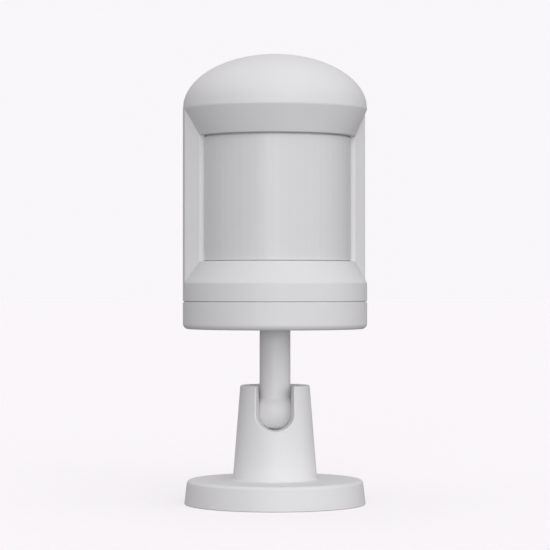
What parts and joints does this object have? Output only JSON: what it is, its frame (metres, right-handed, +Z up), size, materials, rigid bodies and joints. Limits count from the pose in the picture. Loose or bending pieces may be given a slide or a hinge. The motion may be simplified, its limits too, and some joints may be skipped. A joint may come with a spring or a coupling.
{
  "type": "motion sensor",
  "caption": "Battery-powered passive infrared motion sensor: a round head with a wide curved lens, on a ball-joint stand that sits on a shelf or screws to a wall.",
  "frame": {"origin": "centre of the base's underside, on the surface it stands on", "axes": "+Z up along the stem; the open slot of the stand faces -Y; the lens faces -Y, turned 11 degrees towards +X"},
  "size_m": [0.047, 0.047, 0.1146],
  "materials": {
    "shell_plastic": "fine matt moulded texture, warm white",
    "stem_plastic": "smooth matt, white",
    "plate_plastic": "matt moulded, light grey",
    "pad_rubber": "matt foam rubber",
    "pusher_plastic": "smooth, dark grey",
    "spring_steel": "drawn spring wire and strip",
    "brass": "turned",
    "shoe_plastic": "smooth bearing plastic, cream",
    "screw_steel": "zinc plated",
    "seal_rubber": "smooth silicone, grey",
    "chassis_plastic": "matt moulded, mid grey",
    "cell_jacket": "printed metal jacket",
    "contact_metal": "nickel plated strip",
    "board_mask": "solder mask, green",
    "black_plastic": "moulded, black",
    "can_metal": "pressed and plated",
    "filter_window": "polished infrared filter, near black",
    "gold_plating": "gold plated wire",
    "led_resin": "clear cast resin",
    "capacitor_can": "drawn can on a black foot",
    "button_plastic": "smooth, grey",
    "plunger_plastic": "smooth, red",
    "lens_plastic": "milky infrared lens film, satin outside",
    "frame_plastic": "matt moulded, off-white"
  },
  "bodies": {
    "wall_plate": {"wall_plate": "plate_plastic", "foot_pad": "pad_rubber"},
    "base": {"base_cup": "shell_plastic", "ball_pusher": "pusher_plastic", "pusher_spring": "spring_steel", "spring_plug": "brass"},
    "shoe": {"ball_shoe": "shoe_plastic"},
    "stem": {"stem_ball": "stem_plastic", "swivel_insert": "brass", "swivel_screw": "screw_steel", "swivel_washer": "screw_steel"},
    "cap": {"bottom_cap": "shell_plastic", "disc_spring": "spring_steel", "seal_ring": "seal_rubber", "chassis": "chassis_plastic", "chassis_screws": "screw_steel", "battery_cell_left": "cell_jacket", "battery_cell_right": "cell_jacket", "battery_springs": "spring_steel", "contact_plates": "contact_metal", "circuit_board": "board_mask", "board_screws": "screw_steel", "pir_collar": "black_plastic", "pir_sensor": "can_metal", "pir_window": "filter_window", "pir_pins": "gold_plating", "status_led": "led_resin", "microcontroller": "black_plastic", "crystal": "can_metal", "capacitor": "capacitor_can", "radio_board": "board_mask", "radio_shield": "can_metal", "antenna": "gold_plating", "button_switch": "black_plastic", "tamper_switch": "black_plastic"},
    "button": {"pairing_button": "button_plastic", "switch_stem": "black_plastic"},
    "tamper": {"tamper_plunger": "plunger_plastic"},
    "hood": {"hood": "shell_plastic", "fresnel_lens": "lens_plastic", "lens_frame": "frame_plastic", "lens_screws": "screw_steel"}
  },
  "joints": [
    {"name": "base_twist", "type": "hinge", "parent": "wall_plate", "child": "base", "pos_m": [0, 0, 0], "axis": [0, 0, 1], "range_deg": [0, 27]},
    {"name": "ball_lean", "type": "hinge", "parent": "base", "child": "shoe", "pos_m": [0, 0, 0.0235], "axis": [0, 1, 0], "range_deg": [-8, 8]},
    {"name": "ball_tilt", "type": "hinge", "parent": "shoe", "child": "stem", "pos_m": [0, 0, 0.0235], "axis": [1, 0, 0], "range_deg": [-8, 80]},
    {"name": "head_swivel", "type": "hinge", "parent": "stem", "child": "cap", "pos_m": [0, 0, 0.0446], "axis": [0, 0, 1], "continuous": true},
    {"name": "button_press", "type": "slide", "parent": "cap", "child": "button", "axis": [0, 0, 1], "range_m": [0, 0.0006], "stiffness_N_per_m": 1500, "springref_m": -0.0003},
    {"name": "tamper_rise", "type": "slide", "parent": "cap", "child": "tamper", "axis": [0, 0, 1], "range_m": [0, 0.0015]},
    {"name": "hood_lift", "type": "slide", "parent": "cap", "child": "hood", "axis": [0, 0, 1], "range_m": [0, 0.06]}
  ],
  "couplings": [
    {"joint": "tamper_rise", "follows": "hood_lift", "ratio": 0.025}
  ]
}
